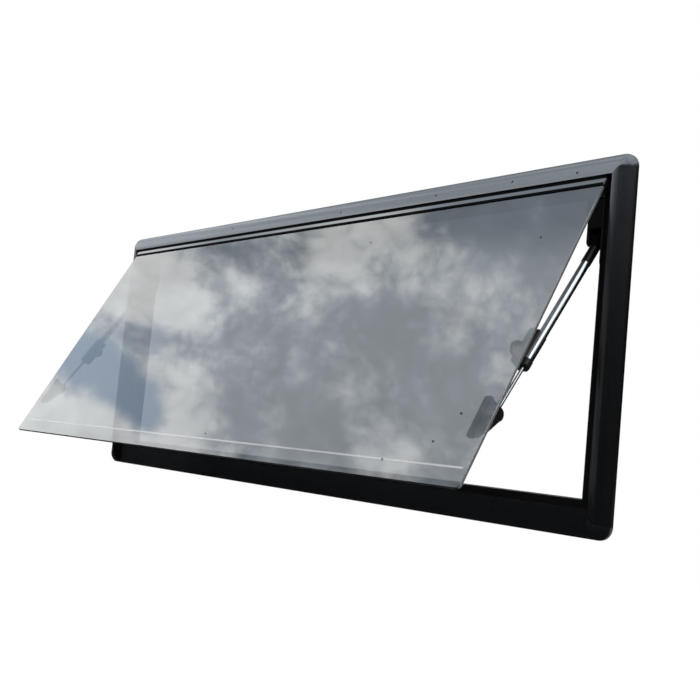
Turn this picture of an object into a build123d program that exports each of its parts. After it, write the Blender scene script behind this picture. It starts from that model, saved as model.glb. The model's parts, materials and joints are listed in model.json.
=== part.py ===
import os
from math import cos, hypot, radians, sin, sqrt
from build123d import *

os.makedirs("parts", exist_ok=True)

# top-hung caravan window, shown open on its two telescopic stays
# millimetres; X to the right seen from outside, Y into the vehicle, Z up
# origin at the middle of the sill, on the back of the flange that seats on the wall

# outer frame
frame_width = 1200
frame_height = 453
frame_mid = 200
corner_radius = 17
face_width = 25
face_proud = 17
rim_height = 5
rim_radius = 2.5
ledge_proud = 4
ledge_margin = 43
sill_margin = 44
sleeve_wall = 3
wall_thickness = 26

# wall gasket, let into the back of the frame
gasket_margin = 8
gasket_width = 8
gasket_depth = 2
gasket_clearance = 0.2

# seal that the pane closes on
seal_inset = 1
seal_width = 9
seal_thick = 1.8

# inner clamp frame
clamp_thick = 4
clamp_width = 16
clamp_bevel = 1.5
clamp_rim = 5
clamp_rim_thick = 6.5
clamp_lip = 3
clamp_lip_depth = 12

# hinge along the top
hinge_y = -13.5
hinge_drop = 7.5
bead_radius = 1.8
hook_clearance = 0.5
hook_wall = 1.1
hook_opening = 75
rail_thick = 1.4
rail_foot = 5
open_angle = 29

# sash, measured outward and downward from the hinge
pane_margin = 34
pane_thick = 4
pane_front = 2.5
pane_head = 3.6
pane_overhang = 6
pane_corner = 6
pane_bevel = 0.6
leaf_thick = 1.2
leaf_top = -1
leaf_bottom = 5
back_leaf_bottom = 9.5
glazing_gasket_height = 4
cap_thick = 2
cap_radius = 1

# stays
stay_inset = 11
pivot_y = 10
pivot_drop = 51.5
pane_pivot_in = 18.2
pane_pivot_rise = 104.5
fit_clearance = 0.15
pin_radius = 3
pin_clearance = 0.3
pin_head = 5.5
pin_head_thick = 2
eye_radius = 6
eye_half = 2.5
head_radius = 6.2
head_neck = 20
head_length = 45
spigot_length = 16
tube_radius = 5.5
tube_bore = 4.2
rod_reach = 73
rod_radius = 2.2
rod_clearance = 0.5
rod_overlap = 75
collar_radius = 7
collar_length = 9
collar_overlap = 6
block_length = 50
block_half = 8.5
block_reach = 14
block_bevel = 2
knob_radius = 10
knob_thick = 9
knob_neck = 3
knob_bevel = 1.5
knob_grips = 6
grip_radius = 2.5

# stay brackets on the frame
bracket_width = 24
bracket_rise = 49
bracket_fall = 38
bracket_radius = 6
hood_wall = 2.5
hood_fall = 12
hood_rise = 9.5
cheek_clearance = 3
inner_cheek = 4

# stay brackets on the pane
foot_thick = 3
foot_radius = 3
foot_lip = 0.25
foot_above = 11
foot_below = 42
fork_wall = 2
fork_gap = 7.5
fork_tip = 4
boss_radius = 4
boss_thick = 0.5

# sizes that follow from these
half_width = frame_width / 2
half_height = frame_height / 2
crown_rise = face_proud - rim_height
crown_radius = (face_width ** 2 + crown_rise ** 2) / (2 * crown_rise)
corner_height = face_proud - crown_radius + sqrt(crown_radius ** 2 - (face_width - corner_radius) ** 2)
corner_x = half_width - corner_radius
corner_z = half_height - corner_radius
opening_x = half_width - ledge_margin
opening_top = half_height - ledge_margin
opening_bottom = -half_height + sill_margin
opening_height = opening_top - opening_bottom
opening_z = (opening_top + opening_bottom) / 2
recess_x = half_width - face_width
recess_top = half_height - face_width
hinge_up = recess_top - hinge_drop
hinge_z = frame_mid + hinge_up
hook_inner = bead_radius + hook_clearance
hook_outer = hook_inner + hook_wall
pane_width = frame_width - 2 * pane_margin
pane_back = pane_front - pane_thick
pane_drop = hinge_up + half_height + pane_overhang
channel_depth = pane_thick + 2 * leaf_thick
open_sin = sin(radians(open_angle))
open_cos = cos(radians(open_angle))

# stay line from the pivot on the frame to the pivot on the pane
stay_x = opening_x - stay_inset
pivot_z = frame_mid + opening_top - pivot_drop
pane_pivot_down = pane_drop - pane_pivot_rise
pane_pivot_y = hinge_y + pane_pivot_in * open_cos - pane_pivot_down * open_sin
pane_pivot_z = hinge_z - pane_pivot_in * open_sin - pane_pivot_down * open_cos
stay_length = hypot(pane_pivot_y - pivot_y, pane_pivot_z - pivot_z)
tube_end = stay_length - rod_reach
collar_start = tube_end - collar_overlap
rod_start = tube_end - rod_overlap
cheek_x = stay_x + tube_radius + cheek_clearance
inner_cheek_x = stay_x - tube_radius - cheek_clearance
pin_length = opening_x - inner_cheek_x + inner_cheek

# planes
front = Plane(origin=(0, 0, frame_mid), x_dir=(1, 0, 0), z_dir=(0, -1, 0))
crown_section = Plane(origin=(0, 0, frame_mid + corner_z), x_dir=(0, 0, 1), z_dir=(1, 0, 0))
seal_section = Plane(origin=(0, -ledge_proud, frame_mid + opening_top), x_dir=(0, 0, 1), z_dir=(1, 0, 0))
rail_section = Plane(origin=(-pane_width / 2, 0, frame_mid), x_dir=(0, 1, 0), z_dir=(1, 0, 0))
outward = (0, -open_cos, open_sin)
sash_face = Plane(origin=(0, hinge_y, hinge_z), x_dir=(1, 0, 0), z_dir=outward)
sash_section = Plane(origin=(-pane_width / 2, hinge_y, hinge_z), x_dir=outward, z_dir=(1, 0, 0))
cap_section = Plane(origin=(pane_width / 2, hinge_y, hinge_z), x_dir=outward, z_dir=(1, 0, 0))
fork_section = Plane(origin=(stay_x, hinge_y, hinge_z), x_dir=outward, z_dir=(1, 0, 0))
stay_dir = (0, (pane_pivot_y - pivot_y) / stay_length, (pane_pivot_z - pivot_z) / stay_length)
stay_line = Plane(origin=(stay_x, pivot_y, pivot_z), x_dir=(1, 0, 0), z_dir=stay_dir)
stay_side = Plane(origin=(stay_x, pivot_y, pivot_z), x_dir=stay_dir, z_dir=(1, 0, 0))
pivot_side = Plane(origin=(0, pivot_y, pivot_z), x_dir=(0, 1, 0), z_dir=(1, 0, 0))

with BuildPart() as outer_frame:
    # crowned face: round about the corners outside the path, mitred inside it
    with BuildLine(front) as corner_path:
        Polyline(
            (0, corner_z),
            (corner_x, corner_z),
            (corner_x, -corner_z),
            (-corner_x, -corner_z),
            (-corner_x, corner_z),
            (0, corner_z),
        )
    with BuildSketch(crown_section):
        with BuildLine():
            Polyline((0, corner_height), (0, 0), (corner_radius, 0), (corner_radius, rim_height))
            RadiusArc((corner_radius, rim_height), (0, corner_height), -crown_radius)
        make_face()
    sweep(path=corner_path.wires()[0], transition=Transition.ROUND)
    rim = outer_frame.edges().filter_by_position(Axis.Y, -rim_height - 0.01, -rim_height + 0.01)
    fillet(rim, radius=rim_radius)
    with BuildSketch(crown_section):
        with BuildLine():
            Polyline(
                (0, corner_height),
                (0, 0),
                (corner_radius - face_width, 0),
                (corner_radius - face_width, face_proud),
            )
            RadiusArc((corner_radius - face_width, face_proud), (0, corner_height), crown_radius)
        make_face()
    sweep(path=corner_path.wires()[0], transition=Transition.RIGHT)
    # the face stops at the sill, so that water runs off under the pane
    with BuildSketch(front.offset(ledge_proud)):
        with Locations((0, 0)):
            Rectangle(2 * recess_x, frame_height, align=(Align.CENTER, Align.MAX))
    extrude(amount=face_proud, mode=Mode.SUBTRACT)
    # ledge and sill
    with BuildSketch(front):
        Rectangle(2 * recess_x, 2 * recess_top)
    extrude(amount=ledge_proud)
    # sleeve that lines the cut-out in the wall
    with BuildSketch(front):
        with Locations((0, opening_z)):
            Rectangle(2 * (opening_x + sleeve_wall), opening_height + 2 * sleeve_wall)
    extrude(amount=-wall_thickness)
    with BuildSketch(front.offset(-wall_thickness)):
        with Locations((0, opening_z)):
            Rectangle(2 * opening_x, opening_height)
    extrude(amount=wall_thickness + face_proud, mode=Mode.SUBTRACT)
    # groove for the wall gasket
    with BuildSketch(front):
        groove_out = gasket_margin - gasket_clearance
        groove_in = gasket_margin + gasket_width + gasket_clearance
        Rectangle(frame_width - 2 * groove_out, frame_height - 2 * groove_out)
        Rectangle(frame_width - 2 * groove_in, frame_height - 2 * groove_in, mode=Mode.SUBTRACT)
    extrude(amount=gasket_depth, mode=Mode.SUBTRACT)

with BuildPart() as wall_gasket:
    with BuildSketch(front):
        gasket_in = gasket_margin + gasket_width
        Rectangle(frame_width - 2 * gasket_margin, frame_height - 2 * gasket_margin)
        Rectangle(frame_width - 2 * gasket_in, frame_height - 2 * gasket_in, mode=Mode.SUBTRACT)
    extrude(amount=gasket_depth)

with BuildPart() as pane_seal:
    with BuildLine(front.offset(ledge_proud)) as seal_path:
        Polyline(
            (0, opening_top),
            (opening_x, opening_top),
            (opening_x, opening_bottom),
            (-opening_x, opening_bottom),
            (-opening_x, opening_top),
            (0, opening_top),
        )
    with BuildSketch(seal_section):
        with BuildLine():
            Line((seal_inset, 0), (seal_inset + seal_width, 0))
            ThreePointArc(
                (seal_inset, 0),
                (seal_inset + seal_width / 2, seal_thick),
                (seal_inset + seal_width, 0),
            )
        make_face()
    sweep(path=seal_path.wires()[0], transition=Transition.RIGHT)

with BuildPart() as inner_frame:
    with BuildSketch(front.offset(-wall_thickness)):
        with Locations((0, opening_z)):
            clamp_out = sleeve_wall + clamp_width
            RectangleRounded(2 * (opening_x + clamp_out), opening_height + 2 * clamp_out, corner_radius)
            Rectangle(2 * (opening_x + sleeve_wall), opening_height + 2 * sleeve_wall, mode=Mode.SUBTRACT)
    extrude(amount=-clamp_thick)
    with BuildSketch(front.offset(-wall_thickness)):
        with Locations((0, opening_z)):
            lip_out = sleeve_wall + clamp_lip
            Rectangle(2 * (opening_x + lip_out), opening_height + 2 * lip_out)
            Rectangle(2 * (opening_x + sleeve_wall), opening_height + 2 * sleeve_wall, mode=Mode.SUBTRACT)
    extrude(amount=clamp_lip_depth)
    clamp_edge = inner_frame.faces().sort_by(Axis.Y)[-1].outer_wire().edges()
    chamfer(clamp_edge, length=clamp_bevel)
    with BuildSketch(front.offset(-wall_thickness)):
        with Locations((0, opening_z)):
            rim_out = sleeve_wall + clamp_rim
            Rectangle(2 * (opening_x + rim_out), opening_height + 2 * rim_out)
            Rectangle(2 * (opening_x + sleeve_wall), opening_height + 2 * sleeve_wall, mode=Mode.SUBTRACT)
    extrude(amount=-clamp_rim_thick)

# fixed half of the hinge: a foot on the ledge, a web and a round bead
with BuildPart() as hinge_rail:
    with BuildSketch(rail_section):
        with Locations((-ledge_proud, recess_top)):
            Rectangle(rail_thick, rail_foot, align=(Align.MAX, Align.MAX))
            Rectangle(-hinge_y - ledge_proud + rail_thick / 2, rail_thick, align=(Align.MAX, Align.MAX))
        with Locations((hinge_y, recess_top)):
            Rectangle(rail_thick, hinge_drop, align=(Align.CENTER, Align.MAX))
        with Locations((hinge_y, hinge_up)):
            Circle(bead_radius)
    extrude(amount=pane_width)

# moving half: a hook round the bead and a channel that grips the pane
with BuildPart() as hinge_profile:
    with BuildSketch(sash_section):
        Circle(hook_outer)
        Circle(hook_inner, mode=Mode.SUBTRACT)
        with BuildLine():
            mouth = 2 * hook_outer
            mouth_x = mouth * sin(radians(hook_opening))
            mouth_y = -mouth * cos(radians(hook_opening))
            Polyline(
                (0, 0),
                (mouth_x, mouth_y),
                (mouth_x, -mouth),
                (-mouth_x, -mouth),
                (-mouth_x, mouth_y),
                (0, 0),
            )
        make_face(mode=Mode.SUBTRACT)
        with Locations((pane_front + leaf_thick, leaf_top)):
            Rectangle(leaf_thick, leaf_bottom - leaf_top, align=(Align.MAX, Align.MIN))
        with Locations((pane_front + leaf_thick, pane_head)):
            Rectangle(channel_depth, leaf_thick, align=(Align.MAX, Align.MAX))
        with Locations((pane_back, pane_head)):
            Rectangle(leaf_thick, back_leaf_bottom - pane_head, align=(Align.MAX, Align.MIN))
    extrude(amount=pane_width)

with BuildPart() as glazing_gasket:
    with BuildSketch(sash_section):
        with Locations((pane_front, leaf_bottom)):
            Rectangle(leaf_thick, glazing_gasket_height, align=(Align.MIN, Align.MIN))
    extrude(amount=pane_width)

with BuildPart() as pane:
    with BuildSketch(sash_face.offset(pane_back)):
        with Locations((0, -pane_head)):
            Rectangle(pane_width, pane_drop - pane_head, align=(Align.CENTER, Align.MAX))
    extrude(amount=pane_thick)
    low_corners = pane.edges().filter_by(Axis((0, 0, 0), outward)).sort_by(Axis.Z)[:2]
    fillet(low_corners, radius=pane_corner)
    bevel_edges = pane.faces().filter_by(Axis((0, 0, 0), outward)).edges()
    chamfer(bevel_edges, length=pane_bevel)

# caps that close the ends of the hinge profile
with BuildPart() as right_hinge_cap:
    with BuildSketch(cap_section):
        cap_height = back_leaf_bottom - leaf_top
        with Locations((pane_front + leaf_thick - channel_depth / 2, leaf_top + cap_height / 2)):
            RectangleRounded(channel_depth, cap_height, cap_radius)
    extrude(amount=cap_thick)

with BuildPart() as left_hinge_cap:
    mirror(right_hinge_cap.part, about=Plane.YZ)

# right stay bracket on the sleeve: a hood over the stay's head
with BuildPart() as right_stay_bracket:
    with BuildSketch(pivot_side.offset(cheek_x)):
        with Locations((0, (bracket_rise - bracket_fall) / 2)):
            RectangleRounded(bracket_width, bracket_rise + bracket_fall, bracket_radius)
    extrude(amount=opening_x - cheek_x)
    with BuildSketch(pivot_side.offset(inner_cheek_x - inner_cheek)):
        with Locations((0, (bracket_rise - hood_fall) / 2)):
            RectangleRounded(bracket_width, bracket_rise + hood_fall, bracket_radius)
    extrude(amount=cheek_x - inner_cheek_x + inner_cheek)
    with BuildSketch(pivot_side.offset(inner_cheek_x)):
        with Locations((bracket_width / 2 - hood_wall, hood_rise)):
            Rectangle(2 * bracket_width, 2 * bracket_width, align=(Align.MAX, Align.MAX))
    extrude(amount=cheek_x - inner_cheek_x, mode=Mode.SUBTRACT)
    with BuildSketch(pivot_side.offset(inner_cheek_x - inner_cheek)):
        Circle(pin_radius + fit_clearance)
    extrude(amount=pin_length, mode=Mode.SUBTRACT)

with BuildPart() as left_stay_bracket:
    mirror(right_stay_bracket.part, about=Plane.YZ)

# pivot pin, from its head on the inner cheek into the outer one
with BuildPart() as right_stay_pin:
    with BuildSketch(pivot_side.offset(inner_cheek_x - inner_cheek)):
        Circle(pin_head)
    extrude(amount=-pin_head_thick)
    with BuildSketch(pivot_side.offset(inner_cheek_x - inner_cheek)):
        Circle(pin_radius)
    extrude(amount=pin_length)

with BuildPart() as left_stay_pin:
    mirror(right_stay_pin.part, about=Plane.YZ)

# head of the stay: an eye on the pin, a neck, a round body and a spigot in the tube
with BuildPart() as right_stay_head:
    with BuildSketch(stay_side.offset(-eye_half)):
        Circle(eye_radius)
        with Locations((head_neck / 2, 0)):
            Rectangle(head_neck, 2 * eye_radius)
    extrude(amount=2 * eye_half)
    with BuildSketch(stay_side.offset(-2 * eye_half)):
        Circle(pin_radius + pin_clearance)
    extrude(amount=4 * eye_half, mode=Mode.SUBTRACT)
    with BuildSketch(stay_line.offset(head_neck)):
        Circle(head_radius)
    extrude(amount=head_length - head_neck)
    with BuildSketch(stay_line.offset(head_length)):
        Circle(tube_bore - fit_clearance)
    extrude(amount=spigot_length)

with BuildPart() as left_stay_head:
    mirror(right_stay_head.part, about=Plane.YZ)

with BuildPart() as right_stay_tube:
    with BuildSketch(stay_line.offset(head_length)):
        Circle(tube_radius)
        Circle(tube_bore, mode=Mode.SUBTRACT)
    extrude(amount=tube_end - head_length)

with BuildPart() as left_stay_tube:
    mirror(right_stay_tube.part, about=Plane.YZ)

# clamp at the foot of the tube: a ring, and a block on its inner side for the thumb knob
with BuildPart() as right_stay_collar:
    with BuildSketch(stay_line.offset(tube_end + collar_length - collar_overlap - block_length)):
        with Locations((-block_reach, 0)):
            Rectangle(block_reach, 2 * block_half, align=(Align.MIN, Align.CENTER))
    extrude(amount=block_length)
    block_edges = right_stay_collar.faces().sort_by(Axis.X)[0].edges()
    chamfer(block_edges, length=block_bevel)
    with BuildSketch(stay_line.offset(collar_start)):
        Circle(collar_radius)
    extrude(amount=collar_length)
    with BuildSketch(stay_line):
        Circle(tube_radius + fit_clearance)
    extrude(amount=tube_end, mode=Mode.SUBTRACT)
    with BuildSketch(stay_line.offset(tube_end)):
        Circle(rod_radius + rod_clearance)
    extrude(amount=collar_length, mode=Mode.SUBTRACT)

with BuildPart() as left_stay_collar:
    mirror(right_stay_collar.part, about=Plane.YZ)

knob_along = collar_start + collar_length - block_length / 2
knob_centre = stay_side.from_local_coords(Vector(knob_along, 0, -block_reach))
knob_plane = Plane(origin=knob_centre, x_dir=stay_dir, z_dir=(-1, 0, 0))
with BuildPart() as right_stay_knob:
    with BuildSketch(knob_plane.offset(knob_neck)):
        Circle(knob_radius)
    extrude(amount=knob_thick)
    knob_rims = right_stay_knob.edges().filter_by(GeomType.CIRCLE)
    chamfer(knob_rims, length=knob_bevel)
    with BuildSketch(knob_plane.offset(knob_neck)):
        with PolarLocations(knob_radius + grip_radius / 2, knob_grips):
            Circle(grip_radius)
    extrude(amount=knob_thick, mode=Mode.SUBTRACT)
    with BuildSketch(knob_plane):
        Circle(knob_radius / 2)
    extrude(amount=knob_neck)

with BuildPart() as left_stay_knob:
    mirror(right_stay_knob.part, about=Plane.YZ)

with BuildPart() as right_stay_rod:
    with BuildSketch(stay_line.offset(rod_start)):
        Circle(rod_radius)
    extrude(amount=stay_length - rod_start)
    with BuildSketch(stay_side.offset(-eye_half)):
        with Locations((stay_length, 0)):
            Circle(eye_radius)
    extrude(amount=2 * eye_half)

with BuildPart() as left_stay_rod:
    mirror(right_stay_rod.part, about=Plane.YZ)

# bracket on the inner face of the pane: a foot and two tapered cheeks round the rod's eye
with BuildPart() as right_pane_bracket:
    with BuildSketch(sash_face.offset(pane_back)):
        with Locations((stay_x, -pane_pivot_down - (foot_below - foot_above) / 2)):
            foot_width = fork_gap + 2 * (fork_wall + foot_lip)
            RectangleRounded(foot_width, foot_above + foot_below, foot_radius)
    extrude(amount=-foot_thick)
    foot_face = pane_back - foot_thick
    for side_x in (-fork_gap / 2 - fork_wall, fork_gap / 2):
        with BuildSketch(fork_section.offset(side_x)):
            with Locations((-pane_pivot_in, pane_pivot_down)):
                Circle(eye_radius + fork_wall)
            with BuildLine():
                Polyline(
                    (foot_face, pane_pivot_down - eye_radius - fork_wall),
                    (-pane_pivot_in, pane_pivot_down - eye_radius - fork_wall),
                    (-pane_pivot_in - eye_radius - fork_wall, pane_pivot_down),
                    (foot_face - fork_tip, pane_pivot_down + foot_below - foot_radius),
                    (foot_face, pane_pivot_down + foot_below - foot_radius),
                    (foot_face, pane_pivot_down - eye_radius - fork_wall),
                )
            make_face()
        extrude(amount=fork_wall)
    for side_x in (-fork_gap / 2 - fork_wall - boss_thick, fork_gap / 2 + fork_wall):
        with BuildSketch(fork_section.offset(side_x)):
            with Locations((-pane_pivot_in, pane_pivot_down)):
                Circle(boss_radius)
        extrude(amount=boss_thick)

with BuildPart() as left_pane_bracket:
    mirror(right_pane_bracket.part, about=Plane.YZ)

pieces = {
    "outer_frame": outer_frame,
    "wall_gasket": wall_gasket,
    "pane_seal": pane_seal,
    "inner_frame": inner_frame,
    "hinge_rail": hinge_rail,
    "hinge_profile": hinge_profile,
    "glazing_gasket": glazing_gasket,
    "pane": pane,
    "right_hinge_cap": right_hinge_cap,
    "left_hinge_cap": left_hinge_cap,
    "right_stay_bracket": right_stay_bracket,
    "left_stay_bracket": left_stay_bracket,
    "right_stay_pin": right_stay_pin,
    "left_stay_pin": left_stay_pin,
    "right_stay_head": right_stay_head,
    "left_stay_head": left_stay_head,
    "right_stay_tube": right_stay_tube,
    "left_stay_tube": left_stay_tube,
    "right_stay_collar": right_stay_collar,
    "left_stay_collar": left_stay_collar,
    "right_stay_knob": right_stay_knob,
    "left_stay_knob": left_stay_knob,
    "right_stay_rod": right_stay_rod,
    "left_stay_rod": left_stay_rod,
    "right_pane_bracket": right_pane_bracket,
    "left_pane_bracket": left_pane_bracket,
}
for name, piece in pieces.items():
    piece.part.label = name
    export_step(piece.part, f"parts/{name}.step")
    print(name, len(piece.part.solids()), round(piece.part.volume))
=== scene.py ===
import json
from math import cos, radians, sin

import bmesh
import bpy
from mathutils import Matrix, Vector


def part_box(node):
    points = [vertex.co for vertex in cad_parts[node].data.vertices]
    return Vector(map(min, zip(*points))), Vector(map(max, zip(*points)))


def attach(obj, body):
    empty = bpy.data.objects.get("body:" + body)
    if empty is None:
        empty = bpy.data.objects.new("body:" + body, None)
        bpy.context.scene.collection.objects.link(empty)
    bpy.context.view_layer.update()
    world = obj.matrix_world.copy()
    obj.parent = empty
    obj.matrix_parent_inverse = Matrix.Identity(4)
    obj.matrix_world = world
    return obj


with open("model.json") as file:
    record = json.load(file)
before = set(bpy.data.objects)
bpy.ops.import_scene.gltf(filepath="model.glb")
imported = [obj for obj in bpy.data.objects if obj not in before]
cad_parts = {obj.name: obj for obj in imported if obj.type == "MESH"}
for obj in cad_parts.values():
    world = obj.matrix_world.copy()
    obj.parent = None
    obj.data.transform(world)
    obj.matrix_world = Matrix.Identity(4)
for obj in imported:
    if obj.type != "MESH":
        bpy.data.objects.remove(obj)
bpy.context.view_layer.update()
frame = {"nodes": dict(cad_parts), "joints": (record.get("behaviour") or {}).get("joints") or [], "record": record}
nodes = frame["nodes"]
scene = bpy.context.scene
scene.view_settings.view_transform = "Standard"
hinge = next(joint for joint in frame["joints"] if joint["name"] == "sash_hinge")
hingeSpot = Vector(hinge["pos_m"])
sashTilt = radians(-hinge["range_deg"][0])  # how far the pane stands open
print("window loaded:", len(nodes), "solids")


class Tone:
    # a socket that takes part in plain sums
    def __init__(self, tree, socket):
        self.tree = tree
        self.socket = socket

    def sum(self, operation, *others, flip=False, clamp=False):
        node = self.tree.nodes.new("ShaderNodeMath")
        node.operation = operation
        node.use_clamp = clamp
        terms = [self, *others]
        if flip:
            terms.reverse()
        for place, term in zip(node.inputs, terms):
            if isinstance(term, Tone):
                self.tree.links.new(term.socket, place)
            else:
                place.default_value = term
        return Tone(self.tree, node.outputs[0])

    def __add__(self, other):
        return self.sum("ADD", other)

    __radd__ = __add__

    def __sub__(self, other):
        return self.sum("SUBTRACT", other)

    def __rsub__(self, other):
        return self.sum("SUBTRACT", other, flip=True)

    def __mul__(self, other):
        return self.sum("MULTIPLY", other)

    __rmul__ = __mul__

    def __truediv__(self, other):
        return self.sum("DIVIDE", other)

    def __rtruediv__(self, other):
        return self.sum("DIVIDE", other, flip=True)

    def __abs__(self):
        return self.sum("ABSOLUTE")

    def held(self):
        return self.sum("ADD", 0.0, clamp=True)

    def above(self, other):
        return self.sum("MAXIMUM", other)


class Finish:
    # the node tree of a material or of the sky
    def __init__(self, owner):
        owner.use_nodes = True
        self.tree = owner.node_tree
        self.tree.nodes.clear()

    def node(self, kind, settings=None, sockets=None):
        node = self.tree.nodes.new(kind)
        for name, value in (settings or {}).items():
            setattr(node, name, value)
        for name, value in (sockets or {}).items():
            place = node.inputs[name]
            if isinstance(value, Tone):
                self.tree.links.new(value.socket, place)
            else:
                place.default_value = value
        return {o.name: Tone(self.tree, o) for o in node.outputs if o.enabled}

    def place(self):
        return self.node("ShaderNodeTexCoord")["Object"]

    def parts(self, vector):
        found = self.node("ShaderNodeSeparateXYZ", {}, {"Vector": vector})
        return found["X"], found["Y"], found["Z"]

    def facing(self):
        return self.parts(self.node("ShaderNodeNewGeometry")["Normal"])

    def stretched(self, vector, scale, turn=(0, 0, 0), shift=(0, 0, 0)):
        sockets = {"Vector": vector, "Scale": scale, "Rotation": turn, "Location": shift}
        return self.node("ShaderNodeMapping", {}, sockets)["Vector"]

    def grain(self, vector, scale, detail=4.0, roughness=0.55):
        sockets = {"Vector": vector, "Scale": scale, "Detail": detail, "Roughness": roughness}
        return self.node("ShaderNodeTexNoise", {"normalize": True}, sockets)["Fac"]

    def rise(self, value, low, high, start=0.0, end=1.0):
        settings = {"interpolation_type": "SMOOTHSTEP"}
        sockets = {"Value": value, "From Min": low, "From Max": high, "To Min": start, "To Max": end}
        return self.node("ShaderNodeMapRange", settings, sockets)["Result"]

    def colours(self, share, first, second):
        # sockets 0, 6 and 7 are the share and the two colours
        sockets = {0: share, 6: first, 7: second}
        return self.node("ShaderNodeMix", {"data_type": "RGBA"}, sockets)["Result"]

    def bump(self, height, distance, strength):
        sockets = {"Height": height, "Distance": distance, "Strength": strength}
        return self.node("ShaderNodeBump", {}, sockets)["Normal"]

    def surface(self, sockets):
        return self.node("ShaderNodeBsdfPrincipled", {}, sockets)["BSDF"]

    def mixed(self, share, first, second):
        return self.node("ShaderNodeMixShader", {}, {0: share, 1: first, 2: second})["Shader"]

    def measured(self, operation, first, second):
        sockets = {0: first, 1: second}
        return self.node("ShaderNodeVectorMath", {"operation": operation}, sockets)["Value"]

    def sashPlace(self):
        # X along the hinge, Z up the pane from the hinge line
        turn = Matrix.Rotation(sashTilt, 3, "X")
        return self.stretched(self.place(), (1, 1, 1), (sashTilt, 0, 0), -(turn @ hingeSpot))

    def show(self, shader, kind="ShaderNodeOutputMaterial"):
        self.node(kind, {}, {"Surface": shader})


def newFinish(name):
    material = bpy.data.materials.new(name)
    return material, Finish(material)


# camera low and to the right, a little below the middle of the window
cameraSet = {
    "place": (1.2994, -0.9975, 0.0613),
    "turn": (94.973, -5.438, 49.605),  # degrees
    "lens": 52.91,
    "sensor": 36,
    "nearest": 0.01,
}
cameraTurn = [radians(angle) for angle in cameraSet["turn"]]
bpy.ops.object.camera_add(location=cameraSet["place"], rotation=cameraTurn)
camera = bpy.context.object
camera.data.sensor_width = cameraSet["sensor"]
camera.data.lens = cameraSet["lens"]
camera.data.clip_start = cameraSet["nearest"]
scene.camera = camera
print("camera set")

# white studio, with a cloudy sky that only gloss mirrors
skySet = {
    "white": 1.0,  # as the camera sees the studio, also through the pane
    "soft": 0.75,  # as it lights matt faces
    "grey": (0.77, 0.875, 1.0, 1.0),
    "cream": (0.955, 0.98, 0.98, 1.0),
    "blue": (0.52, 0.68, 0.90, 1.0),
    "dim": 0.95,
    "bright": 2.4,
    "blueLevel": 1.5,
    "swirl": {"Scale": 8.0, "Detail": 2.0},
    "drift": (0.05, 0.05, 0.05),
    "heaps": ((13.0, 1.0), (29.0, 0.65), (61.0, 0.4)),  # scale, weight
    "coverGrain": (5.2, 10.0, 0.66),  # scale, detail, roughness
    "coverHeap": 0.13,
    "heapMiddle": 0.45,
    "mottleGrain": (12.0, 8.0, 0.62),
    "plainShare": 0.50,
    "heapShare": 0.30,
    "mottleShare": 0.70,
    "edge": (0.41, 0.63),  # cover from grey to cream
    "banks": [  # azimuth, height, size in degrees, gain
        (-76, 19.5, 2.4, 0.15),
        (-74.7, 21.8, 1.4, 0.10),
        (-81, 28.3, 2.6, 0.30),
        (-78.2, 26.8, 1.8, -0.12),
        (-72, 27, 2.2, 0.06),
        (-74.2, 31.2, 2.4, -0.11),
        (-77.6, 38, 2.8, 0.08),
        (-75.9, 41.4, 2.2, 0.115),
        (-70.5, 43, 2.6, 0.105),
        (-64, 35, 3.0, 0.06),
        (-72.7, 35.4, 2.4, -0.11),
        (-66, 39, 2.4, -0.09),
        (-73, 50, 5.0, -0.13),
    ],
    "gaps": [  # azimuth, height, size of the blue gap's patches
        (-79.6, 22.4, 1.9),
        (-78.0, 23.3, 2.0),
        (-76.4, 24.0, 2.0),
        (-75.0, 24.5, 1.9),
        (-74.1, 24.6, 1.5),
    ],
    "gapGain": 1.2,
    "gapCover": 0.56,
    "gapCut": 1.7,
    "gapEdge": (0.30, 1.0),
    "gapRim": (0.04, 0.45),
    "veils": [(-77.0, 25.4, 3.2, 0.7), (-72.5, 48.5, 5.5, 0.3)],  # the last is the share of blue
    # from, to, and what that turns into, by the way's X, Y or Z
    "sideX": (-0.7, 0.1, 0.0, 0.97),
    "sideZ": (0.3, 0.6, 1.0, 0.0),
    "backLeftX": (-0.6, -0.4, 0.6, 0.0),
    "backLeftY": (0.0, 0.35),
    "backY": (0.0, 0.5, 1.0, 0.6),
    "horizonX": (-0.6, -0.2, 0.0, 0.13),
    "horizon": (0.10, 0.24),
    "ground": 0.004,
}
world = bpy.data.worlds.new("studioSky")
scene.world = world
world.cycles.sampling_method = "NONE"
sky = Finish(world)
way = sky.node("ShaderNodeTexCoord")["Generated"]
wayX, wayY, wayZ = sky.parts(way)


def skyPatch(azimuth, height, size):
    a, h = radians(azimuth), radians(height)
    near = sky.measured("DOT_PRODUCT", way, (sin(a) * cos(h), -cos(a) * cos(h), sin(h)))
    return ((near - 1) / (1 - cos(radians(size)))).sum("EXPONENT")


# cloud cover: drifting grain, heaped puffs and banks given one by one
swirl = sky.node("ShaderNodeTexNoise", {}, {"Vector": way, **skySet["swirl"]})["Color"]
drift = {0: swirl, 1: skySet["drift"], 2: way}
warped = sky.node("ShaderNodeVectorMath", {"operation": "MULTIPLY_ADD"}, drift)["Vector"]
heap = 0
for scale, weight in skySet["heaps"]:
    heap = heap + abs(sky.grain(warped, scale, 0.0, 0.0) * 2 - 1) * weight
cover = sky.grain(warped, *skySet["coverGrain"])
cover = cover + (heap - skySet["heapMiddle"]) * skySet["coverHeap"]
for azimuth, height, size, gain in skySet["banks"]:
    cover = cover + skyPatch(azimuth, height, size) * gain
share = sky.rise(cover, *skySet["edge"])

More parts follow.
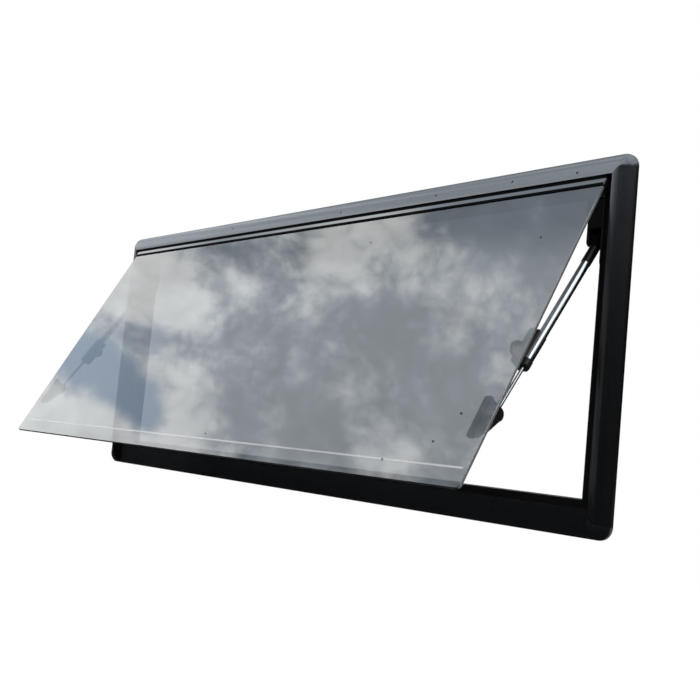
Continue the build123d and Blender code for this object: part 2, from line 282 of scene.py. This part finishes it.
# the blue gap low at the left, and thin blue veils
gap = skyPatch(*skySet["gaps"][0])
for patch in skySet["gaps"][1:]:
    gap = gap.above(skyPatch(*patch))
opened = gap * skySet["gapGain"] + (skySet["gapCover"] - cover) * skySet["gapCut"]
clear = sky.rise(opened, *skySet["gapEdge"]) * sky.rise(gap, *skySet["gapRim"])
for azimuth, height, size, most in skySet["veils"]:
    clear = clear.above(skyPatch(azimuth, height, size) * (1 - share) * most)
tint = sky.colours(clear, sky.colours(share, skySet["grey"], skySet["cream"]), skySet["blue"])

# brightness, darker low at the right, behind and below the horizon
mottle = sky.grain(warped, *skySet["mottleGrain"])
level = share * (skySet["bright"] - skySet["dim"]) + skySet["dim"]
level = level * (
    skySet["plainShare"] + heap * skySet["heapShare"] + mottle * skySet["mottleShare"]
)
level = level * (1 - clear) + clear * skySet["blueLevel"]
lowSide = sky.rise(wayX, *skySet["sideX"]) * sky.rise(wayZ, *skySet["sideZ"])
backLeft = sky.rise(wayX, *skySet["backLeftX"]) * sky.rise(wayY, *skySet["backLeftY"])
level = level * (1 - lowSide) * (1 - backLeft) * sky.rise(wayY, *skySet["backY"])
overHorizon = wayZ - sky.rise(wayX, *skySet["horizonX"])
level = level * sky.rise(overHorizon, *skySet["horizon"]) + skySet["ground"]
clouds = sky.node("ShaderNodeBackground", {}, {"Color": tint, "Strength": level})["Background"]

# refracted rays count as glossy too, so they are taken out of what is mirrored
path = sky.node("ShaderNodeLightPath")
seen = path["Is Camera Ray"].above(path["Is Transmission Ray"])
plainLook = {
    "Color": (1, 1, 1, 1),
    "Strength": seen * (skySet["white"] - skySet["soft"]) + skySet["soft"],
}
plain = sky.node("ShaderNodeBackground", {}, plainLook)["Background"]
mirrored = path["Is Glossy Ray"] * (1 - path["Is Transmission Ray"])
sky.show(sky.mixed(mirrored, plain, clouds), "ShaderNodeOutputWorld")

floorSet = {
    "size": 7.0,
    "height": -0.5,
    "colour": (0.86, 0.86, 0.855, 1),
    "grain": 3.0,
    "roughness": (0.3, 0.7, 0.6, 0.75),
    "lift": (0.55, 0.55, 0.55, 1),  # glow that keeps it white for the camera
    "mirroredFront": (0.01, 0.01, 0.01, 1),
    "mirroredBack": (0.45, 0.45, 0.45, 1),
    "mirroredTurn": (0.1, 0.9),  # from front to back
    "mirroredRoughness": 0.9,
}
bpy.ops.mesh.primitive_plane_add(size=floorSet["size"], location=(0, 0, floorSet["height"]))
floor = bpy.context.object
floor.name = "floor"
floorMaterial, finish = newFinish("paleFloor")
spot = finish.place()
path = finish.node("ShaderNodeLightPath")
pale = finish.surface({
    "Base Color": floorSet["colour"],
    "Roughness": finish.rise(finish.grain(spot, floorSet["grain"]), *floorSet["roughness"]),
    "Emission Color": finish.colours(path["Is Camera Ray"], (0, 0, 0, 1), floorSet["lift"]),
    "Emission Strength": 1.0,
})
backward = finish.rise(finish.parts(spot)[1], *floorSet["mirroredTurn"])
dark = finish.surface({
    "Base Color": finish.colours(backward, floorSet["mirroredFront"], floorSet["mirroredBack"]),
    "Roughness": floorSet["mirroredRoughness"],
})
# through the pane the floor is as white as the studio, so no line shows where it ends
blank = finish.surface({
    "Base Color": (0, 0, 0, 1),
    "Specular IOR Level": 0.0,
    "Emission Color": (1, 1, 1, 1),
    "Emission Strength": skySet["white"],
})
shown = finish.mixed(path["Is Glossy Ray"], pale, dark)
finish.show(finish.mixed(path["Is Transmission Ray"], shown, blank))
floor.data.materials.append(floorMaterial)

lampSet = {
    "lamps": [  # name, place, power in watts
        ("frontLamp", (-0.9, -2.6, 2.3), 27.0),
        ("backLamp", (1.2, 2.4, 1.8), 22.0),
    ],
    "size": 1.8,
    "aim": (0, 0, 0.2),
}
for name, spot, power in lampSet["lamps"]:
    bpy.ops.object.light_add(type="AREA", location=spot)
    lamp = bpy.context.object
    lamp.name = name
    lamp.data.size = lampSet["size"]
    lamp.data.energy = power
    lamp.visible_glossy = False
    toAim = Vector(lampSet["aim"]) - Vector(spot)
    lamp.rotation_euler = toAim.to_track_quat("-Z", "Y").to_euler()
print("studio set")

# flies that stick to frame and pane: small dark specks with a ragged edge
flySet = {
    "look": {"Base Color": (0.006, 0.005, 0.004, 1), "Roughness": 0.9, "Specular IOR Level": 0.0},
    "core": 0.6,  # of a fly's size
    "grain": (700.0, 2.0),  # scale, detail
    "ragged": 1.4,
}


def flyMask(finish, x, z, size, spots):
    vector = finish.node("ShaderNodeCombineXYZ", {}, {"X": x, "Z": z})["Vector"]
    ragged = (finish.grain(vector, *flySet["grain"]) - 0.5) * size * flySet["ragged"]
    mask = None
    for spot in spots:
        gap = finish.measured("DISTANCE", vector, spot)
        fleck = finish.rise(gap + ragged, size * flySet["core"], size, 1.0, 0.0)
        mask = fleck if mask is None else mask.above(fleck)
    return mask


# gloss black of the outer frame, with dust on what faces up and a few flies on the top
frameSet = {
    "black": (0.0018, 0.0019, 0.0022, 1),
    "dust": (0.20, 0.19, 0.175, 1),
    "dustShare": 0.15,
    "dustFacing": (0.5, 0.95),
    "dustPatch": (0.35, 0.7),
    "smudgeGrain": (7.0, 5.0, 0.6),  # scale, detail, roughness
    "streakStretch": (70, 70, 4),
    "roughness": 0.185,
    "smudgeRough": 0.10,
    "streakRough": 0.04,
    "dustRough": 0.2,
    "ior": 2.24,
    "sheen": (0.91, 0.95, 1.0, 1),
    "peelGrain": (420.0, 2.0),
    "peelDepth": 0.00002,
    "peelStrength": 0.4,
    "flySpots": [
        (0.073, 0, 0.409),
        (0.280, 0, 0.4105),
        (0.419, 0, 0.412),
        (0.523, 0, 0.409),
        (-0.230, 0, 0.413),
    ],
    "flySize": 0.0018,
    "flyFacing": (-0.6, -0.3, 1.0, 0.0),  # only on the outer face
}
frameBlack, finish = newFinish("frameBlack")
spot = finish.place()
spotX, _, spotZ = finish.parts(spot)
_, outward, upward = finish.facing()
smudge = finish.grain(spot, *frameSet["smudgeGrain"])
streak = finish.grain(finish.stretched(spot, frameSet["streakStretch"]), 1.0)
dust = finish.rise(upward, *frameSet["dustFacing"]) * finish.rise(smudge, *frameSet["dustPatch"])
worn = smudge * frameSet["smudgeRough"] + streak * frameSet["streakRough"]
peel = finish.grain(spot, *frameSet["peelGrain"])
gloss = finish.surface({
    "Base Color": finish.colours(dust * frameSet["dustShare"], frameSet["black"], frameSet["dust"]),
    "Roughness": worn + dust * frameSet["dustRough"] + frameSet["roughness"],
    "IOR": frameSet["ior"],
    "Specular Tint": frameSet["sheen"],
    "Normal": finish.bump(peel, frameSet["peelDepth"], frameSet["peelStrength"]),
})
fly = flyMask(finish, spotX, spotZ, frameSet["flySize"], frameSet["flySpots"])
fly = fly * finish.rise(outward, *frameSet["flyFacing"])
finish.show(finish.mixed(fly, gloss, finish.surface(flySet["look"])))

# moulded inner frame, lightly scuffed along its length
innerSet = {
    "dark": (0.011, 0.011, 0.012, 1),
    "light": (0.026, 0.026, 0.027, 1),
    "toneGrain": 12.0,
    "toneShare": 0.7,
    "scuffStretch": (9, 60, 60),
    "scuffGrain": (1.0, 6.0, 0.65),
    "scuffEdge": (0.52, 0.75),
    "scuffShare": 0.5,
    "scuffRough": 0.12,
    "roughness": (0.2, 0.8, 0.38, 0.55),
    "peelGrain": (650.0, 3.0),
    "peelDepth": 0.00012,
    "peelStrength": 0.8,
}
innerBlack, finish = newFinish("innerBlack")
spot = finish.place()
peel = finish.grain(spot, *innerSet["peelGrain"])
rubbed = finish.grain(finish.stretched(spot, innerSet["scuffStretch"]), *innerSet["scuffGrain"])
scuff = finish.rise(rubbed, *innerSet["scuffEdge"])
tone = finish.grain(spot, innerSet["toneGrain"]) * innerSet["toneShare"]
tone = tone + scuff * innerSet["scuffShare"]
finish.show(finish.surface({
    "Base Color": finish.colours(tone, innerSet["dark"], innerSet["light"]),
    "Roughness": finish.rise(peel, *innerSet["roughness"]) + scuff * innerSet["scuffRough"],
    "Normal": finish.bump(peel, innerSet["peelDepth"], innerSet["peelStrength"]),
}))


def dullFinish(name, look):
    material, finish = newFinish(name)
    spot = finish.place()
    tone = finish.grain(spot, look["toneGrain"])
    rough = finish.grain(spot, look["roughGrain"])
    finish.show(finish.surface({
        "Base Color": finish.colours(tone, look["dark"], look["light"]),
        "Roughness": finish.rise(rough, *look["roughness"]),
        "Specular IOR Level": look["specular"],
    }))
    return material


# the fixed rail in the shade under the top face
railBlack = dullFinish("railBlack", {
    "dark": (0.003, 0.003, 0.003, 1),
    "light": (0.006, 0.006, 0.006, 1),
    "toneGrain": 20.0,
    "roughGrain": 40.0,
    "roughness": (0.3, 0.7, 0.45, 0.6),
    "specular": 0.04,
})
gasketRubber = dullFinish("gasketRubber", {
    "dark": (0.002, 0.002, 0.002, 1),
    "light": (0.005, 0.005, 0.005, 1),
    "toneGrain": 30.0,
    "roughGrain": 300.0,
    "roughness": (0.3, 0.7, 0.6, 0.8),
    "specular": 0.015,
})
sealRubber = dullFinish("sealRubber", {
    "dark": (0.003, 0.003, 0.003, 1),
    "light": (0.007, 0.007, 0.007, 1),
    "toneGrain": 25.0,
    "roughGrain": 250.0,
    "roughness": (0.3, 0.7, 0.55, 0.75),
    "specular": 0.08,
})


def drawnFinish(name, look, detail=3.0):
    material, finish = newFinish(name)
    drawn = finish.grain(finish.stretched(finish.place(), look["stretch"]), 1.0, detail)
    finish.show(finish.surface({
        "Base Color": finish.colours(drawn, look["dark"], look["light"]),
        "Metallic": look["metal"],
        "Roughness": finish.rise(drawn, *look["roughness"]),
        "IOR": look["ior"],
    }))
    return material


# dark anodised hinge profile, drawn lengthwise
hingeGrey = drawnFinish("hingeGrey", {
    "dark": (0.010, 0.011, 0.013, 1),
    "light": (0.022, 0.023, 0.026, 1),
    "stretch": (2, 900, 900),
    "metal": 0.0,
    "roughness": (0.2, 0.8, 0.08, 0.18),
    "ior": 2.2,
})
# bright tubes, and the steel of rods, pins and screws
staySilver = drawnFinish("staySilver", {
    "dark": (0.80, 0.81, 0.82, 1),
    "light": (0.92, 0.925, 0.93, 1),
    "stretch": (900, 40, 40),
    "metal": 1.0,
    "roughness": (0.2, 0.8, 0.16, 0.28),
    "ior": 1.5,
})
staySteel = drawnFinish("staySteel", {
    "dark": (0.60, 0.61, 0.62, 1),
    "light": (0.78, 0.79, 0.80, 1),
    "stretch": (900, 40, 40),
    "metal": 1.0,
    "roughness": (0.2, 0.8, 0.18, 0.30),
    "ior": 1.5,
})

# grey tinted pane: a darker strip along its top edge that is painted shade, a pale line near its lower edge that
# is a painted highlight, a few flies and a thin film of dust
paneSet = {
    "tint": (0.150, 0.158, 0.166, 1),
    # painted shade: the pane's top strip is tinted darker to stand in for the dark space behind it
    "paintedShadeTint": (0.024, 0.026, 0.028, 1),
    "paintedShadeBand": (-0.16, -0.04),  # up the pane, from the hinge line
    "ior": 1.95,
    "hazeGrain": (5.0, 5.0, 0.6),
    "hazeRough": (0.4, 0.8, 0.0, 0.03),
    "film": (0.84, 0.85, 0.87, 1),
    "filmRoughness": 0.6,
    "filmShare": (0.45, 0.85, 0.0, 0.03),
    # painted highlight: a pale line near the lower edge, standing in for a lit edge seen through the pane
    "paintedHighlight": -0.4025,
    "paintedHighlightWidth": (0.0004, 0.0020, 1.0, 0.0),
    "paintedHighlightEnd": (0.556, 0.562, 1.0, 0.0),
    "paintedHighlightStretch": (9, 1, 1),
    "paintedHighlightBreaks": (0.30, 0.60, 0.5, 0.95),
    "paintedHighlightShare": 0.55,
    "sawnFacing": (0.5, 0.8),
    "sawnShare": 0.16,
    "flySpots": [
        (0.182, 0, -0.055),
        (0.434, 0, -0.403),
        (0.054, 0, -0.394),
        (0.498, 0, -0.374),
        (0.519, 0, -0.336),
        (0.508, 0, -0.083),
    ],
    "flySize": 0.0016,
}
paneGlass, finish = newFinish("paneGlass")
flat = finish.sashPlace()
flatX, _, flatZ = finish.parts(flat)
haze = finish.grain(finish.place(), *paneSet["hazeGrain"])
# painted shade: the tint darkens towards the top edge, up the pane from the hinge line
paintedShadeShare = finish.rise(flatZ, *paneSet["paintedShadeBand"])
# painted highlight: the pale line, broken here and there, is mixed in as pale film
paintedHighlight = finish.rise(abs(flatZ - paneSet["paintedHighlight"]), *paneSet["paintedHighlightWidth"])
paintedHighlight = paintedHighlight * finish.rise(abs(flatX), *paneSet["paintedHighlightEnd"])
paintedHighlightGaps = finish.grain(finish.stretched(flat, paneSet["paintedHighlightStretch"]), 1.0)
paintedHighlight = paintedHighlight * finish.rise(paintedHighlightGaps, *paneSet["paintedHighlightBreaks"])
sawn = finish.rise(abs(finish.facing()[0]), *paneSet["sawnFacing"])  # matt cut edges at both sides
glass = finish.surface({
    "Base Color": finish.colours(paintedShadeShare, paneSet["tint"], paneSet["paintedShadeTint"]),
    "Roughness": finish.rise(haze, *paneSet["hazeRough"]),
    "IOR": paneSet["ior"],
    "Transmission Weight": 1.0,
})
film = finish.surface({"Base Color": paneSet["film"], "Roughness": paneSet["filmRoughness"]})
filmShare = finish.rise(haze, *paneSet["filmShare"])
filmShare = filmShare + paintedHighlight * paneSet["paintedHighlightShare"] + sawn * paneSet["sawnShare"]
filmed = finish.mixed(filmShare.held(), glass, film)
fly = flyMask(finish, flatX, flatZ, paneSet["flySize"], paneSet["flySpots"])
finish.show(finish.mixed(fly, filmed, finish.surface(flySet["look"])))

# moulded black of the brackets, heads, collars, knobs and hinge caps
blackSet = {
    "dark": (0.005, 0.005, 0.0055, 1),
    "light": (0.010, 0.010, 0.0105, 1),
    "toneGrain": 60.0,
    "roughness": (0.2, 0.8, 0.32, 0.45),
    "peelGrain": (1200.0, 2.0),
    "peelDepth": 0.00003,
    "peelStrength": 0.5,
}
stayBlack, finish = newFinish("stayBlack")
spot = finish.place()
tone = finish.grain(spot, blackSet["toneGrain"])
peel = finish.grain(spot, *blackSet["peelGrain"])
finish.show(finish.surface({
    "Base Color": finish.colours(tone, blackSet["dark"], blackSet["light"]),
    "Roughness": finish.rise(peel, *blackSet["roughness"]),
    "Normal": finish.bump(peel, blackSet["peelDepth"], blackSet["peelStrength"]),
}))
print("finishes made")

# cross-head screws: pan heads round the inner frame, low heads on the stay brackets
screwSet = {
    "panRadius": 0.0033,
    "panRise": 0.0022,
    "lowRadius": 0.0026,
    "lowRise": 0.0008,
    "corners": 24,
    "roundShare": 0.6,  # of the head's rise
    "roundSteps": 3,
    "slotWidth": 0.0009,
    "slotReach": 0.36,  # of the head's radius
    "slotDepth": 0.5,  # of the head's rise
    "smoothAngle": 35,
    "edgeIn": 0.00625,
    "faceIn": 0.0025,  # from the inner frame's rearmost face to the face under the heads
    "along": (-0.50, -0.30, -0.10, 0.10, 0.30, 0.50),
    "upright": (0.30, 0.70),
    "spinStep": 1.1,
    "plateIn": 0.0025,  # thickness of the bracket's plate
    "plateY": (0.003, 0.017),
    "plateZ": 0.303,
    "plateSpin": 0.5,
}


def onlyThis(thing):
    bpy.ops.object.select_all(action="DESELECT")
    thing.select_set(True)
    bpy.context.view_layer.objects.active = thing


def pickFaces(thing, wanted):
    mesh = bmesh.from_edit_mesh(thing.data)
    for face in mesh.faces:
        face.select_set(wanted(face))
    mesh.select_flush_mode()
    bmesh.update_edit_mesh(thing.data)


def modelScrew(name, radius, rise):
    bpy.ops.object.select_all(action="DESELECT")
    bpy.ops.mesh.primitive_cylinder_add(
        vertices=screwSet["corners"], radius=radius, depth=rise, location=(0, 0, rise / 2)
    )
    screw = bpy.context.object
    screw.name = name
    bpy.ops.object.transform_apply(location=True, rotation=True, scale=True)
    bpy.ops.object.mode_set(mode="EDIT")
    bpy.ops.mesh.select_mode(type="FACE")
    pickFaces(screw, lambda face: face.normal.z > 0.9)
    bpy.ops.mesh.bevel(
        offset=rise * screwSet["roundShare"], segments=screwSet["roundSteps"], affect="EDGES"
    )
    bpy.ops.object.mode_set(mode="OBJECT")
    # the cutter of the cross: a small block with its four sides drawn out
    slot = screwSet["slotWidth"]
    cutterSpot = (0, 0, rise + slot / 2 - rise * screwSet["slotDepth"])
    bpy.ops.object.select_all(action="DESELECT")
    bpy.ops.mesh.primitive_cube_add(size=slot, location=cutterSpot)
    cutter = bpy.context.object
    bpy.ops.object.transform_apply(location=True, rotation=True, scale=True)
    bpy.ops.object.mode_set(mode="EDIT")
    bpy.ops.mesh.select_mode(type="FACE")
    pickFaces(cutter, lambda face: abs(face.normal.z) < 0.5)
    reach = radius * screwSet["slotReach"]
    bpy.ops.mesh.extrude_faces_move(TRANSFORM_OT_shrink_fatten={"value": reach})
    bpy.ops.object.mode_set(mode="OBJECT")
    onlyThis(screw)
    cut = screw.modifiers.new("cross", "BOOLEAN")
    cut.operation = "DIFFERENCE"
    cut.solver = "EXACT"
    cut.object = cutter
    bpy.ops.object.modifier_apply(modifier=cut.name)
    bpy.data.objects.remove(cutter, do_unlink=True)
    onlyThis(screw)
    bpy.ops.object.shade_smooth_by_angle(angle=radians(screwSet["smoothAngle"]))
    screw.data.materials.clear()
    screw.data.materials.append(staySteel)
    return screw


def setScrew(model, name, spot, turn, spin):
    screw = model.copy()
    screw.data = model.data.copy()
    screw.name = name
    scene.collection.objects.link(screw)
    screw.data.transform(Matrix.Translation(spot) @ turn @ Matrix.Rotation(spin, 4, "Z"))
    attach(screw, "frame")


panScrew = modelScrew("panScrew", screwSet["panRadius"], screwSet["panRise"])
lowScrew = modelScrew("lowScrew", screwSet["lowRadius"], screwSet["lowRise"])
low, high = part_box("inner_frame")
edge = screwSet["edgeIn"]
faceY = high[1] - screwSet["faceIn"]
spots = []
for x in screwSet["along"]:
    spots += [(x, faceY, low[2] + edge), (x, faceY, high[2] - edge)]
for share in screwSet["upright"]:
    z = low[2] + (high[2] - low[2]) * share
    spots += [(low[0] + edge, faceY, z), (high[0] - edge, faceY, z)]
inward = Matrix.Rotation(radians(-90), 4, "X")
for count, spot in enumerate(spots):
    setScrew(panScrew, "innerScrew%02d" % (count + 1), spot, inward, count * screwSet["spinStep"])
for side in ("right", "left"):
    low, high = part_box(side + "_stay_bracket")
    sign = 1 if side == "right" else -1
    plateX = (high[0] if sign > 0 else low[0]) - sign * screwSet["plateIn"]
    sideways = Matrix.Rotation(radians(-90 * sign), 4, "Y")
    for count, y in enumerate(screwSet["plateY"]):
        name = "%sBracketScrew%d" % (side, count + 1)
        spot = (plateX, y, screwSet["plateZ"])
        setScrew(lowScrew, name, spot, sideways, screwSet["plateSpin"] + count)
for model in (panScrew, lowScrew):
    bpy.data.objects.remove(model, do_unlink=True)
print("screws set:", len(spots) + 2 * len(screwSet["plateY"]))

finishes = {
    "frame_black": frameBlack,
    "inner_black": innerBlack,
    "rail_black": railBlack,
    "hinge_grey": hingeGrey,
    "gasket_rubber": gasketRubber,
    "seal_rubber": sealRubber,
    "pane_glass": paneGlass,
    "stay_black": stayBlack,
    "stay_silver": staySilver,
    "stay_steel": staySteel,
}
for part in frame["record"]["subparts"]:
    for place in nodes[part["node"]].material_slots:
        place.material = finishes[part["material_slot"]]
print("finishes on")
